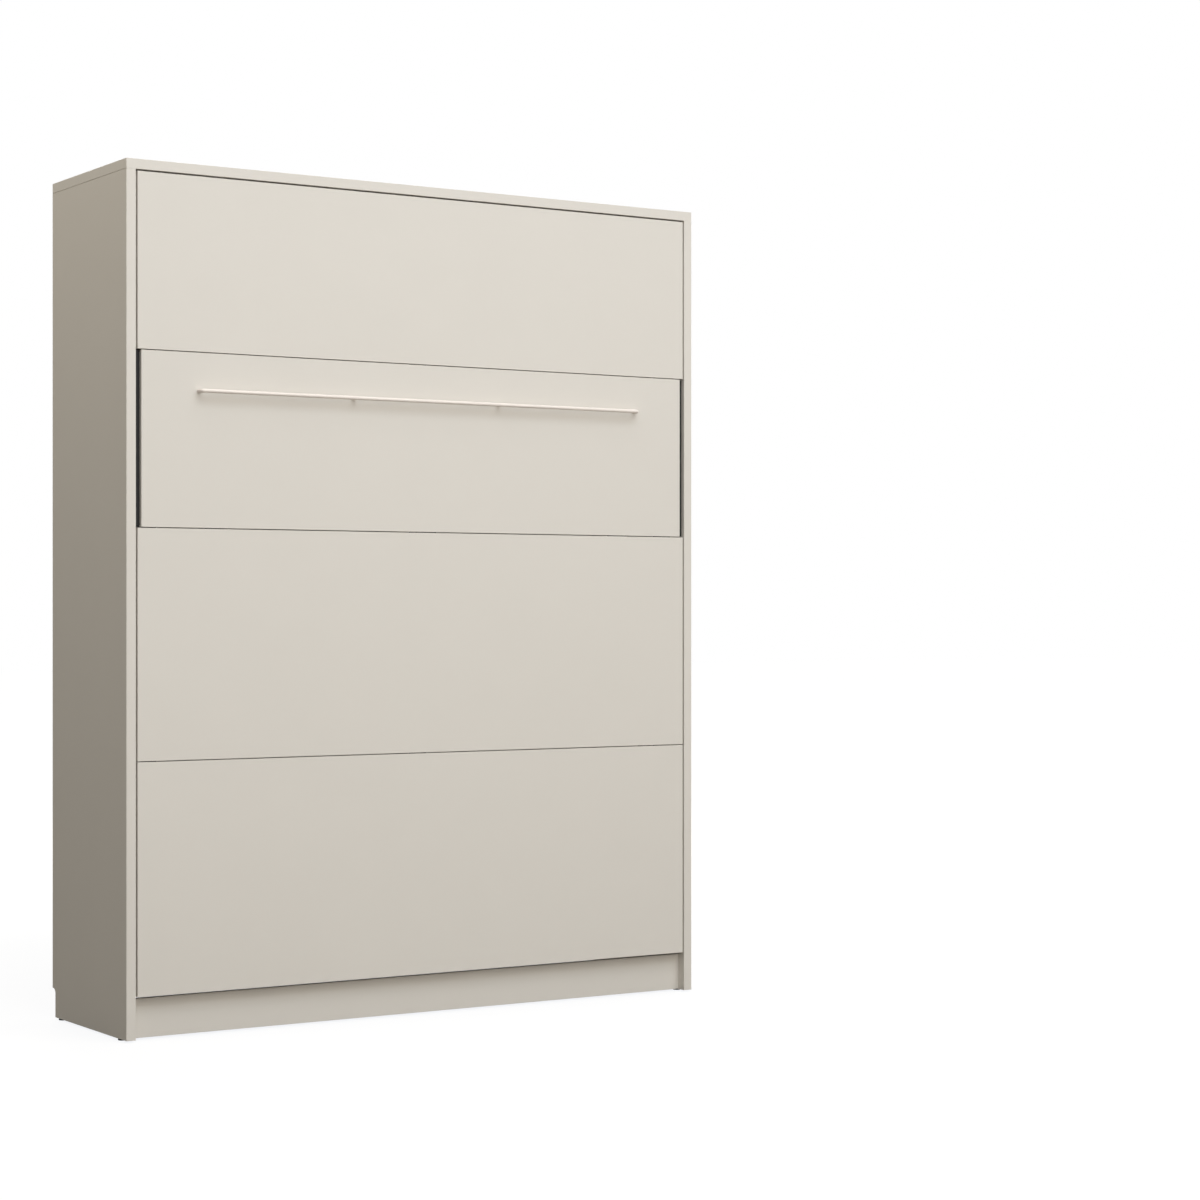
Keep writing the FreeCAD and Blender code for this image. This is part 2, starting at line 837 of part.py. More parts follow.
def head_cleat_pieces():
    z0 = frame_bottom + head_board_thickness
    x1 = stile_outer - head_cleat_inset
    x0 = x1 - head_cleat_width
    rise = box(x0, x1, stile_rear, stile_rear + bracket_steel, z0, z0 + head_cleat_rise)
    reach = box(x0, x1, stile_rear, stile_rear + head_cleat_reach, z0, z0 + bracket_steel)
    return both(fused(rise, reach))


def foot_hoop_pieces():
    z = frame_top - stile_cap_head - foot_hoop_top_drop
    x0 = foot_hoop_offset - foot_hoop_width / 2
    x1 = foot_hoop_offset + foot_hoop_width / 2
    y1 = cross_rear + foot_hoop_reach
    corners = [Vector(x0, cross_rear, z), Vector(x0, y1, z), Vector(x1, y1, z), Vector(x1, cross_rear, z)]
    return both(bent_rod(corners, foot_hoop_corner, foot_hoop_radius))


def side_hoop_pieces():
    """Hoops on the stiles; their feet stand midway between slat holders."""
    y1 = stile_rear + side_hoop_reach
    x = stile_middle_x
    hoops = []
    for share in side_hoop_shares:
        z0 = slat_heights()[int(share * slat_count)] + slat_pitch / 2
        z1 = z0 + slat_pitch
        corners = [Vector(x, stile_rear, z0), Vector(x, y1, z0), Vector(x, y1, z1), Vector(x, stile_rear, z1)]
        hoops.append(bent_rod(corners, side_hoop_corner, side_hoop_radius))
    return both(group(hoops))


def lug_pieces():
    """Lugs on the stiles whose necks enter the slots in the back of the leg panel."""
    x0, x1 = stile_outer, stile_outer + lug_thickness
    y, z = leg_axis_y, leg_axis_z
    body = box(x0, x1, stile_front, stile_rear - lug_rear_inset, z - lug_half_height, z + lug_half_height)
    neck = box(x0, x1, y, stile_front, z - lug_radius, z + lug_radius)
    nose = rod_x(x0, x1, y, z, lug_radius)
    bore = rod_x(x0 - cut_overrun, x1 + cut_overrun, y, z, leg_pin_radius + running_clearance)
    return both(fused(body, neck, nose).cut([bore, frame_bolt_pieces()]))


# Support leg pieces

def lug_slot():
    x0 = stile_outer - lug_slot_clearance
    x1 = stile_outer + lug_thickness + lug_slot_clearance
    reach = lug_radius + lug_slot_clearance
    return box(x0, x1, leg_axis_y - reach, front_board + cut_overrun,
               leg_axis_z - reach, leg_top + cut_overrun)


def leg_panel():
    panel = board(-leg_half, leg_half, 0, front_board, leg_bottom, leg_top)
    return panel.cut([both(lug_slot()), leg_pin_holes(), leg_bar_screw_pieces(), handle_screw_pieces()])


def leg_pin_holes():
    x0 = stile_outer - leg_pin_reach
    return both(rod_x(x0, leg_half + cut_overrun, leg_axis_y, leg_axis_z, leg_pin_radius))


def leg_bar_range():
    return leg_bottom + leg_bar_bottom_gap, leg_axis_z - leg_bar_top_gap


def leg_bar_pieces():
    """Steel bars behind the leg panel's ends, with a lip in the slit and a crank arm for the link."""
    z0, z1 = leg_bar_range()
    rear = front_board + leg_bar
    outer = inner_x - leg_bar_side_gap
    flat = box(leg_half - leg_bar_back_width, outer, front_board, rear, z0, z1)
    lip = box(leg_half, outer, leg_bar_lip_setback, rear,
              leg_bottom + leg_bar_lip_end_gap, leg_top - leg_bar_lip_end_gap)
    eye_y = leg_axis_y + link_back
    eye_z = leg_axis_z + link_rise
    edge = math.radians(arm_edge_angle)
    outline = [(rear, leg_axis_z - arm_weld_drop), (rear, leg_axis_z - arm_weld_top_drop),
               (eye_y + arm_eye_radius * math.cos(edge), eye_z + arm_eye_radius * math.sin(edge)),
               (eye_y + arm_eye_radius, eye_z)]
    arm = plate_x(outline, arm_inner_x, arm_outer_x)
    eye = rod_x(arm_inner_x, arm_outer_x, eye_y, eye_z, arm_eye_radius)
    hole = rod_x(arm_inner_x - cut_overrun, arm_outer_x + cut_overrun, eye_y, eye_z, crank_pin_radius)
    return both(fused(flat, lip, arm, eye).cut([hole, leg_bar_screw_pieces()]))


def leg_bar_screw_pieces():
    z0, z1 = leg_bar_range()
    x = leg_half - leg_bar_screw_inset
    heights = spread(z0 + leg_bar_screw_end, z1 - leg_bar_screw_end, leg_bar_screw_count)
    places = [Vector(x, front_board + leg_bar, z) for z in heights]
    return both(group(screw(p, Y_AXIS * -1, short_screw_grip) for p in places))


def leg_pin_pieces():
    """Pivot pins of the leg and crank pins for the leg links."""
    pivot = rod_x(stile_outer - leg_pin_reach, leg_half - leg_pin_edge_gap, leg_axis_y, leg_axis_z,
                  leg_pin_radius)
    y = leg_axis_y + link_back
    z = leg_axis_z + link_rise
    end_x = link_outer_x + crank_pin_clearance
    crank = rod_x(arm_inner_x, end_x, y, z, crank_pin_radius)
    head = rod_x(end_x, end_x + crank_pin_head, y, z, crank_pin_head_radius)
    return both(group([pivot, fused(crank, head)]))


def leg_pad_pieces():
    y0 = (front_board - leg_pad_width) / 2
    pads = []
    for x in (-leg_pad_x, 0, leg_pad_x):
        pad = box(x - leg_pad_length / 2, x + leg_pad_length / 2, y0, y0 + leg_pad_width,
                  leg_bottom - leg_pad_height, leg_bottom)
        pads.append(corner_rounded(pad, leg_pad_corner_radius, Z_AXIS))
    return group(pads)


def handle_post_places():
    reach = leg_half - handle_post_inset
    return spread(-reach, reach, handle_post_count)


def handle_rod():
    """A long round rod, bent back to the panel at both ends."""
    reach = handle_post_places()[-1]
    corners = [Vector(-reach, 0, handle_z), Vector(-reach, -handle_axis_out, handle_z),
               Vector(reach, -handle_axis_out, handle_z), Vector(reach, 0, handle_z)]
    return bent_rod(corners, handle_bend, handle_bar_radius)


def handle_post_pieces():
    """Posts that carry the rod between its bent ends."""
    posts = [rod_y(-handle_axis_out, 0, x, handle_z, handle_post_radius) for x in handle_post_places()[1:-1]]
    return group(post.cut([handle_rod(), handle_screw_pieces()]).Solids[0] for post in posts)


def handle_screw_pieces():
    grip = front_board + handle_screw_in_post
    return group(screw(Vector(x, front_board, handle_z), Y_AXIS * -1, grip, handle_screw_head_radius,
                       handle_screw_head, handle_screw_radius) for x in handle_post_places())


# Leg links and gas springs

def leg_link():
    """A flat bar with an eye at each end, from the stud on the cabinet to the crank pin."""
    y0, z0 = pivot_y + link_back, pivot_z + link_rise
    y1, z1 = leg_axis_y + link_back, leg_axis_z + link_rise
    length = math.hypot(y1 - y0, z1 - z0)
    across = (link_half_width * (z1 - z0) / length, -link_half_width * (y1 - y0) / length)
    outline = [(y0 + across[0], z0 + across[1]), (y1 + across[0], z1 + across[1]),
               (y1 - across[0], z1 - across[1]), (y0 - across[0], z0 - across[1])]
    flat = plate_x(outline, link_inner_x, link_outer_x)
    eyes = [rod_x(link_inner_x, link_outer_x, y, z, link_eye_radius) for y, z in ((y0, z0), (y1, z1))]
    holes = [rod_x(link_inner_x - cut_overrun, link_outer_x + cut_overrun, y, z, radius + running_clearance)
             for y, z, radius in ((y0, z0, link_stud_radius), (y1, z1, crank_pin_radius))]
    return fused(flat, *eyes).cut(holes)


def on_gas_line(shape):
    """A shape built downward from the upper eye at the origin, turned onto the gas-spring line."""
    placed = shape.copy()
    placed.rotate(Vector(0, 0, 0), X_AXIS, gas_tilt)
    placed.translate(Vector(gas_x, gas_anchor_y, gas_anchor_z))
    return placed


def gas_cylinder():
    eye = rod_x(-gas_eye_half_width, gas_eye_half_width, 0, 0, gas_eye_radius)
    neck = rod_z(-gas_tube_start, 0, 0, 0, gas_neck_radius)
    barrel = rod_z(-gas_tube_end, -gas_tube_start, 0, 0, gas_tube_radius)
    hollow = rod_z(gas_gland - gas_tube_end, -gas_tube_start - gas_tube_cap, 0, 0, gas_tube_bore)
    gland = rod_z(-gas_tube_end - cut_overrun, -gas_tube_start - gas_tube_cap, 0, 0,
                  gas_rod_radius + running_clearance)
    hole = rod_x(-gas_tube_start, gas_tube_start, 0, 0, gas_stud_radius + running_clearance)
    return on_gas_line(fused(eye, neck, barrel).cut([hollow, gland, hole]))


def gas_rod():
    """The rod with its piston inside the tube and the end that meets the seat on the bed."""
    inner = gas_rod_overlap - gas_tube_end
    shaft = rod_z(-gas_length, inner, 0, 0, gas_rod_radius)
    piston = rod_z(inner - gas_piston_length, inner, 0, 0, gas_tube_bore - gas_piston_clearance)
    end = rod_x(-gas_end_half_width, gas_end_half_width, 0, -gas_length, gas_end_radius)
    return on_gas_line(fused(shaft, piston, end))


def write(name, shape):
    shape.translated(origin_shift).exportStep("parts/" + name + ".step")


def write_sides(name, shape):
    write(name + "_right", shape)
    write(name + "_left", mirrored(shape))


def main():
    os.makedirs("parts", exist_ok=True)
    side_tools = [cam_lock_pieces(), cam_bolt_pieces(), dowel_pieces(), hardware_screw_pieces()]
    write_sides("side_panel", side_panel().cut(side_tools))
    write("top_panel", top_panel())
    write("plinth_panel", plinth_panel())
    write("plinth_blocks", plinth_block_pieces())
    for index, place in enumerate(("lower", "middle", "upper")):
        write("back_sheet_" + place, back_sheet(index))
    write("back_joiner_strips", joiner_strip_pieces())
    write("rear_upper_rail", rear_rail(*upper_rail_range()))
    write("rear_lower_rail", rear_rail(*lower_rail_range()))
    write("floor_glides", glide_pieces())
    write("cam_locks", cam_lock_pieces())
    write("cam_bolts", cam_bolt_pieces())
    write("wood_dowels", dowel_pieces())
    write("cabinet_pivot_plates", cabinet_pivot_plate_pieces())
    write("hardware_screws", hardware_screw_pieces())
    write("bed_pivot_pins", bed_pivot_pin_pieces())
    write("link_studs", link_stud_pieces())
    write("gas_anchors", gas_anchor_pieces())
    write("closing_stop_brackets", stop_bracket_pieces())
    write("closing_stop_pads", stop_pad_pieces())

    write("front_panel_lower", front_panel(front_bottom, lower_top))
    write("front_panel_middle", front_panel(middle_bottom, middle_top))
    write("front_panel_upper", front_panel(upper_bottom, front_top))
    write("front_spacers", spacer_pieces())
    write("front_brackets", bracket_pieces())
    write("bracket_screws", bracket_screw_pieces())
    write_sides("frame_stile", stile())
    write("stile_end_caps", stile_cap_pieces())
    write("frame_cross_tubes", cross_tube_pieces())
    write("centre_rail", centre_rail())
    write_sides("slats", slat_row())
    write("slat_holders_outer", outer_holder_pieces())
    write("slat_holders_centre", centre_holder_pieces())
    write("bed_pivot_plates", bed_plate_pieces())
    write("pivot_bushes", bush_pieces())
    write("frame_bolts", frame_bolt_pieces())
    write("head_end_board", head_board())
    write("head_end_angles", head_cleat_pieces())
    write("foot_end_hoops", foot_hoop_pieces())
    write("side_hoops", side_hoop_pieces())
    write("leg_lugs", lug_pieces())

    write("leg_panel", leg_panel())
    write("leg_side_bars", leg_bar_pieces())
    write("leg_bar_screws", leg_bar_screw_pieces())
    write("leg_pins", leg_pin_pieces())
    write("leg_floor_pads", leg_pad_pieces())
    write("handle_bar", handle_rod().cut(handle_screw_pieces()))
    write("handle_posts", handle_post_pieces())
    write("handle_screws", handle_screw_pieces())

    write_sides("leg_link", leg_link())
    write_sides("gas_cylinder", gas_cylinder())
    write_sides("gas_rod", gas_rod())


main()
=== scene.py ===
import math

import bmesh
import bpy
from mathutils import Matrix, Vector


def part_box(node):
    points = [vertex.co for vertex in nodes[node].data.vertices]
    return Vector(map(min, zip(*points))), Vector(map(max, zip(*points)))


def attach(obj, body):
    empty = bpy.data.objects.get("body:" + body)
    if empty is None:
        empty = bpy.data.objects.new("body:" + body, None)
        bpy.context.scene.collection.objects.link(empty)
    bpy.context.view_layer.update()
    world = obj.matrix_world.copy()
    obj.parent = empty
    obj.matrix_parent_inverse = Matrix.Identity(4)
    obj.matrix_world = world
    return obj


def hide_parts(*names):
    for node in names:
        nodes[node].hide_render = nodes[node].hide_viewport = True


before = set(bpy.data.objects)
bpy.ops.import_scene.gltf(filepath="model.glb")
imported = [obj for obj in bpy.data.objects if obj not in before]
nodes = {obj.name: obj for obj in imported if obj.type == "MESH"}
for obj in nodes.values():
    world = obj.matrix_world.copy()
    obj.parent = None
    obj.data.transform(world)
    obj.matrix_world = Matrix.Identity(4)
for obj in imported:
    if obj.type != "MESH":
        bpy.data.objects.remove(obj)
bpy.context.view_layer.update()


class Wire:
    """A socket that takes part in sums: each operator adds one Math node."""

    def __init__(self, sheet, socket):
        self.sheet = sheet
        self.socket = socket

    def math(self, operation, *terms):
        return self.sheet.node("ShaderNodeMath", {"operation": operation}, dict(enumerate(terms)))

    def __add__(self, other):
        return self.math("ADD", self, other)

    def __sub__(self, other):
        return self.math("SUBTRACT", self, other)

    def __rsub__(self, other):
        return self.math("SUBTRACT", other, self)

    def __mul__(self, other):
        return self.math("MULTIPLY", self, other)

    def __truediv__(self, other):
        return self.math("DIVIDE", self, other)

    def __abs__(self):
        return self.math("ABSOLUTE", self)

    def __lt__(self, other):
        return self.math("LESS_THAN", self, other)

    def __gt__(self, other):
        return self.math("GREATER_THAN", self, other)

    __radd__ = __add__
    __rmul__ = __mul__

    def least(self, other):
        return self.math("MINIMUM", self, other)

    def most(self, other):
        return self.math("MAXIMUM", self, other)

    def clamped(self):
        return self.most(0.0).least(1.0)

    def fraction(self):
        return self.math("FRACT", self)


class Sheet:
    """The nodes of one material or of the surround."""

    def __init__(self, tree):
        self.tree = tree

    def feed(self, inlet, value):
        if isinstance(value, Wire):
            self.tree.links.new(value.socket, inlet)
        else:
            inlet.default_value = value

    def node(self, kind, settings=(), sockets=(), outlet=0):
        made = self.tree.nodes.new(kind)
        for key, value in dict(settings).items():
            setattr(made, key, value)
        for key, value in dict(sockets).items():
            self.feed(made.inputs[key], value)
        return Wire(self, made.outputs[outlet]) if made.outputs else None

    def looked_at(self):
        """One for what the eye, a reflection or clear material sees, zero for light on the object."""
        path = self.node("ShaderNodeLightPath").socket.node.outputs
        rays = [Wire(self, path[name]) for name in ("Is Camera Ray", "Is Glossy Ray", "Is Transmission Ray")]
        return rays[0].most(rays[1]).most(rays[2])


class Finish(Sheet):
    """A material: one Principled surface, its steady values and the nodes that vary it."""

    def __init__(self, name, steady=()):
        self.material = bpy.data.materials.new(name)
        self.material.use_nodes = True
        super().__init__(self.material.node_tree)
        self.surface = self.tree.nodes["Principled BSDF"]
        self.place = self.node("ShaderNodeTexCoord", outlet="Object")
        self.set(steady)

    def set(self, values):
        for key, value in dict(values).items():
            self.feed(self.surface.inputs[key], value)

    def axes(self):
        parts = self.node("ShaderNodeSeparateXYZ", (), {0: self.place}).socket.node.outputs
        return [Wire(self, part) for part in parts]

    def facing(self, axis):
        """How squarely the surface faces along one axis, either way."""
        normal = self.node("ShaderNodeNewGeometry", outlet="Normal")
        parts = self.node("ShaderNodeSeparateXYZ", (), {0: normal}).socket.node.outputs
        return abs(Wire(self, parts[axis]))

    def grain(self, scale, detail=2.0, stretch=None):
        """Noise over the piece, drawn out along an axis where stretch is given."""
        place = self.place
        if stretch:
            place = self.node("ShaderNodeMapping", (), {"Vector": place, "Scale": stretch})
        return self.node("ShaderNodeTexNoise", (), {"Vector": place, "Scale": scale, "Detail": detail})

    def blend(self, share, first, second):
        return self.node("ShaderNodeMix", {"data_type": "RGBA"}, {0: share, 6: first, 7: second}, outlet=2)

    def bump(self, height, depth, strength):
        self.set({"Normal": self.node("ShaderNodeBump", (), {
            "Height": height, "Distance": depth, "Strength": strength})})


def linear(red, green, blue):
    """An 8-bit display colour as scene-linear RGBA."""
    shares = [value / 255 for value in (red, green, blue)]
    return tuple(s / 12.92 if s <= 0.04045 else ((s + 0.055) / 1.055) ** 2.4 for s in shares) + (1.0,)


CASHMERE = linear(223, 218, 210)
CASHMERE_DEEP = linear(218, 213, 205)
CASHMERE_JOINT = linear(176, 168, 154)
# The edge band, its joint's distance from the edge and the joint's width, in metres.
EDGE_BAND = 0.0008
BAND_JOINT = 0.001
JOINT_WIDTH = 0.0002


def decor_board(node):
    """Satin cashmere decor with a pearl emboss; the edge band's joint shows as a hairline."""
    low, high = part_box(node)
    sizes = high - low
    thin = min(range(3), key=lambda axis: sizes[axis])
    finish = Finish("cashmere_" + node, {"Specular IOR Level": 0.15})
    axes = finish.axes()
    inward = [sizes[a] / 2 - abs(axes[a] - (low[a] + high[a]) / 2) for a in range(3) if a != thin]
    from_edge = inward[0].least(inward[1])
    joint = (1 - abs(from_edge - BAND_JOINT) / JOINT_WIDTH).clamped()
    band = from_edge < EDGE_BAND
    cloud = finish.grain(7.0, 3.0)
    emboss = finish.grain(900.0)
    pores = finish.grain(260.0, 1.0)
    face = finish.blend((cloud * 0.5 + emboss * 0.5).clamped(), CASHMERE_DEEP, CASHMERE)
    finish.set({
        "Base Color": finish.blend(joint * 0.45, face, CASHMERE_JOINT),
        "Roughness": 0.47 + 0.1 * emboss - 0.06 * band,
    })
    finish.bump(emboss * 0.7 + pores * 0.3, 0.00004, 0.6)
    return finish.material


def hardboard():
    """Thin fibre sheet: decor on the room side, raw pressed fibre towards the wall."""
    low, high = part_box("back_sheet_middle")
    finish = Finish("decor_hardboard", {"Specular IOR Level": 0.25})
    raw = finish.axes()[1] > (low.y + high.y) / 2
    mottle = finish.grain(22.0, 5.0)
    fibre = finish.grain(520.0, 3.0)
    brown = finish.blend((mottle * 1.4 - 0.2).clamped(), linear(122, 92, 64), linear(158, 124, 90))
    brown = finish.blend(fibre * 0.35, brown, linear(184, 152, 116))
    pale = finish.blend(mottle, CASHMERE_DEEP, CASHMERE)
    finish.set({"Base Color": finish.blend(raw, pale, brown), "Roughness": 0.52 + raw * (0.2 + 0.2 * fibre)})
    finish.bump(fibre * (0.25 + 0.75 * raw), 0.0001, 0.5)
    return finish.material


def moulded_plastic(name, deep, pale, gloss):
    """Moulded plastic with a fine spark-eroded skin and faint flow clouds."""
    finish = Finish(name, {"Specular IOR Level": gloss})
    skin = finish.grain(1500.0)
    flow = finish.grain(45.0, 3.0)
    finish.set({"Base Color": finish.blend((flow * 0.7 + skin * 0.3).clamped(), deep, pale),
                "Roughness": 0.42 + 0.22 * skin})
    finish.bump(skin, 0.00005, 0.6)
    return finish.material


def extruded_plastic():
    """Grey extruded strip with drawing lines along its length."""
    finish = Finish("grey_strip", {"Specular IOR Level": 0.4})
    lines = finish.grain(1.0, 3.0, (3.0, 900.0, 900.0))
    finish.set({"Base Color": finish.blend(lines, linear(150, 148, 144), linear(176, 174, 169)),
                "Roughness": 0.4 + 0.2 * lines})
    finish.bump(lines, 0.00004, 0.5)
    return finish.material


def pad_rubber():
    finish = Finish("stop_rubber", {"Specular IOR Level": 0.3})
    bloom = finish.grain(120.0, 4.0)
    pits = finish.grain(1100.0)
    finish.set({"Base Color": finish.blend(bloom, linear(30, 30, 31), linear(58, 57, 56)),
                "Roughness": 0.72 + 0.2 * pits})
    finish.bump(pits, 0.0001, 0.6)
    return finish.material


def natural_nylon():
    finish = Finish("natural_nylon", {"Specular IOR Level": 0.4, "Subsurface Weight": 0.1})
    cloud = finish.grain(160.0, 3.0)
    turned = finish.grain(1.0, 2.0, (1800.0, 60.0, 60.0))
    finish.set({"Base Color": finish.blend(cloud, linear(214, 210, 198), linear(232, 229, 220)),
                "Roughness": 0.34 + 0.2 * turned})
    finish.bump(turned, 0.00004, 0.5)
    return finish.material


def zinc_plate():
    """Bright zinc with fine spangle and dull, slightly yellow patches."""
    finish = Finish("zinc_plate", {"Metallic": 1.0})
    spangle = finish.grain(1400.0)
    patch = finish.grain(130.0, 4.0)
    tone = finish.blend(patch, linear(196, 200, 202), linear(208, 203, 186))
    finish.set({"Base Color": finish.blend(spangle * 0.6, tone, linear(158, 160, 160)),
                "Roughness": 0.24 + 0.2 * spangle + 0.12 * patch})
    finish.bump(spangle, 0.00003, 0.5)
    return finish.material


def powder_coat():
    """Black powder coat: orange peel with a fine dry speckle."""
    finish = Finish("black_powder_coat", {"Specular IOR Level": 0.25})
    peel = finish.grain(480.0, 1.0)
    speck = finish.grain(2600.0)
    finish.set({"Base Color": finish.blend(speck, linear(18, 18, 19), linear(34, 33, 32)),
                "Roughness": 0.42 + 0.2 * peel})
    finish.bump(peel * 0.8 + speck * 0.2, 0.00005, 0.8)
    return finish.material


def beech(name, stretch, edges=None):
    """Steamed beech with fine flecks along the grain; glued layers show on sawn edges."""
    finish = Finish(name, {"Specular IOR Level": 0.3})
    across = [value / max(stretch) for value in stretch]
    streak = finish.grain(1.0, 4.0, stretch)
    fleck = finish.grain(4.0, 1.0, stretch)
    broad = finish.grain(26.0, 2.0, across)
    tone = finish.blend((streak * 0.6 + broad * 0.6 - 0.1).clamped(),
                        linear(190, 146, 104), linear(221, 182, 138))
    tone = finish.blend((fleck * 4.0 - 2.3).clamped() * 0.45, tone, linear(139, 96, 62))
    if edges:
        tone = finish.blend(edges(finish), tone, linear(150, 106, 70))
    finish.set({"Base Color": tone, "Roughness": 0.42 + 0.2 * streak})
    finish.bump(streak * 0.6 + fleck * 0.4, 0.00008, 0.5)
    return finish.material


def slat_layers(finish):
    """Every other veneer of a bowed slat, seen on its long edges."""
    low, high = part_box("slats_right")
    crown, layer = 0.010, 0.0016
    edge_on, depth_of_tone = 0.6, 0.7
    x, y, z = finish.axes()
    along = (abs(x) - (low.x + high.x) / 2) / ((high.x - low.x) / 2)
    depth = y - low.y - crown * (1 - along * along)
    odd = (depth / (2 * layer)).fraction() > 0.5
    return odd * (finish.facing(2) > edge_on) * depth_of_tone


def handle_lacquer():
    """Warm light satin metal, brushed along the bar."""
    finish = Finish("satin_light_metal", {"Metallic": 0.05, "Specular IOR Level": 0.3})
    brush = finish.grain(1.0, 3.0, (5.0, 1600.0, 1600.0))
    wear = finish.grain(40.0, 3.0)
    finish.set({"Base Color": finish.blend((brush * 0.7 + wear * 0.3).clamped(),
                                           linear(220, 210, 202), linear(238, 230, 223)),
                "Roughness": 0.34 + 0.14 * brush})
    finish.bump(brush, 0.00002, 0.4)
    return finish.material


def ground_rod():
    """Hard chrome on a ground rod, with faint marks along the stroke."""
    finish = Finish("ground_chrome", {"Metallic": 1.0})
    marks = finish.grain(1.0, 3.0, (1500.0, 60.0, 60.0))
    finish.set({"Base Color": finish.blend(marks, linear(206, 209, 212), linear(228, 229, 230)),
                "Roughness": 0.07 + 0.08 * marks})
    finish.bump(marks, 0.000008, 0.4)
    return finish.material


def finish_node(material, *names):
    for name in names:
        for slot in nodes[name].material_slots:
            slot.material = material


for name in ("side_panel_left", "side_panel_right", "top_panel", "plinth_panel", "front_panel_lower",
             "front_panel_middle", "front_panel_upper", "leg_panel", "rear_upper_rail", "rear_lower_rail",
             "head_end_board"):
    finish_node(decor_board(name), name)
ZINC = zinc_plate()
finish_node(hardboard(), "back_sheet_lower", "back_sheet_middle", "back_sheet_upper")
finish_node(moulded_plastic("black_moulding", linear(18, 18, 19), linear(32, 32, 32), 0.2),
            "plinth_blocks", "floor_glides", "front_spacers", "stile_end_caps", "leg_floor_pads")
finish_node(moulded_plastic("grey_moulding", linear(92, 92, 92), linear(112, 112, 110), 0.4),
            "slat_holders_outer", "slat_holders_centre")
finish_node(extruded_plastic(), "back_joiner_strips")
finish_node(pad_rubber(), "closing_stop_pads")
finish_node(natural_nylon(), "pivot_bushes")
finish_node(ZINC, "cam_bolts", "bed_pivot_pins", "link_studs", "leg_pins")
finish_node(powder_coat(), "cabinet_pivot_plates", "gas_anchors", "closing_stop_brackets", "front_brackets",
            "frame_stile_left", "frame_stile_right", "frame_cross_tubes", "centre_rail", "bed_pivot_plates",
            "head_end_angles", "foot_end_hoops", "side_hoops", "leg_lugs", "leg_side_bars", "leg_link_left",
            "leg_link_right", "gas_cylinder_left", "gas_cylinder_right")
finish_node(beech("beech_dowel", (260.0, 260.0, 9.0)), "wood_dowels")
finish_node(beech("beech_slat", (9.0, 260.0, 260.0), slat_layers), "slats_left", "slats_right")
finish_node(handle_lacquer(), "handle_bar", "handle_posts")
finish_node(ground_rod(), "gas_rod_left", "gas_rod_right")


# How near two points count as one, in metres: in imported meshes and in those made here.
PACKED_WELD = 1e-5
OWN_WELD = 1e-6


def loose_parts(name):
    """The vertices' places of each separate part in a node that groups several."""
    work = bmesh.new()
    work.from_mesh(nodes[name].data)
    bmesh.ops.remove_doubles(work, verts=work.verts, dist=PACKED_WELD)
    left = set(work.verts)
    parts = []
    while left:
        front = {left.pop()}
        part = set(front)
        while front:
            front = {edge.other_vert(vert) for vert in front for edge in vert.link_edges} & left
            left -= front
            part |= front
        parts.append([vert.co.copy() for vert in part])
    work.free()
    return sorted(parts, key=lambda part: tuple(round(min(co[a] for co in part), 5) for a in range(3)))


def corners(part):
    return (Vector([min(co[a] for co in part) for a in range(3)]),
            Vector([max(co[a] for co in part) for a in range(3)]))


def lay_along(ring, outline):
    """Moves a ring of vertices onto a straight-sided outline, shared evenly between its corners."""
    start = min(range(len(ring)), key=lambda i: (ring[i].co.xy - Vector(outline[0])).length)
    ring = ring[start:] + ring[:start]
    share = len(ring) // len(outline)
    for i, vert in enumerate(ring):
        at, step = divmod(i, share)
        first, last = Vector(outline[at]), Vector(outline[(at + 1) % len(outline)])
        vert.co.xy = first.lerp(last, step / share)


def cross_outline(arm, half):
    quarter = [(arm, -half), (arm, half), (half, half)]
    turns = [Matrix.Rotation(math.radians(90 * i), 2) for i in range(4)]
    return [turn @ Vector(point) for turn in turns for point in quarter]


def hexagon_outline(radius):
    turns = [math.radians(60 * i) for i in range(6)]
    return [(radius * math.cos(turn), radius * math.sin(turn)) for turn in turns]


def raise_face(work, face, lift, scale=1.0):
    """Extrudes a flat face along Z and returns the moved face."""
    made = bmesh.ops.extrude_discrete_faces(work, faces=[face])["faces"][0]
    centre = made.calc_center_median()
    bmesh.ops.scale(work, verts=made.verts, vec=(scale, scale, 1.0), space=Matrix.Translation(-centre))
    bmesh.ops.translate(work, verts=made.verts, vec=(0.0, 0.0, lift))
    return made


def disc(work, segments, radius, turn, facing):
    """A flat round face across Z, with its corners turned, that faces up or down."""
    rim = bmesh.ops.create_circle(work, cap_ends=True, segments=segments, radius=radius, matrix=turn)["verts"]
    face = rim[0].link_faces[0]
    if face.normal.z * facing < 0:
        face.normal_flip()
    return face


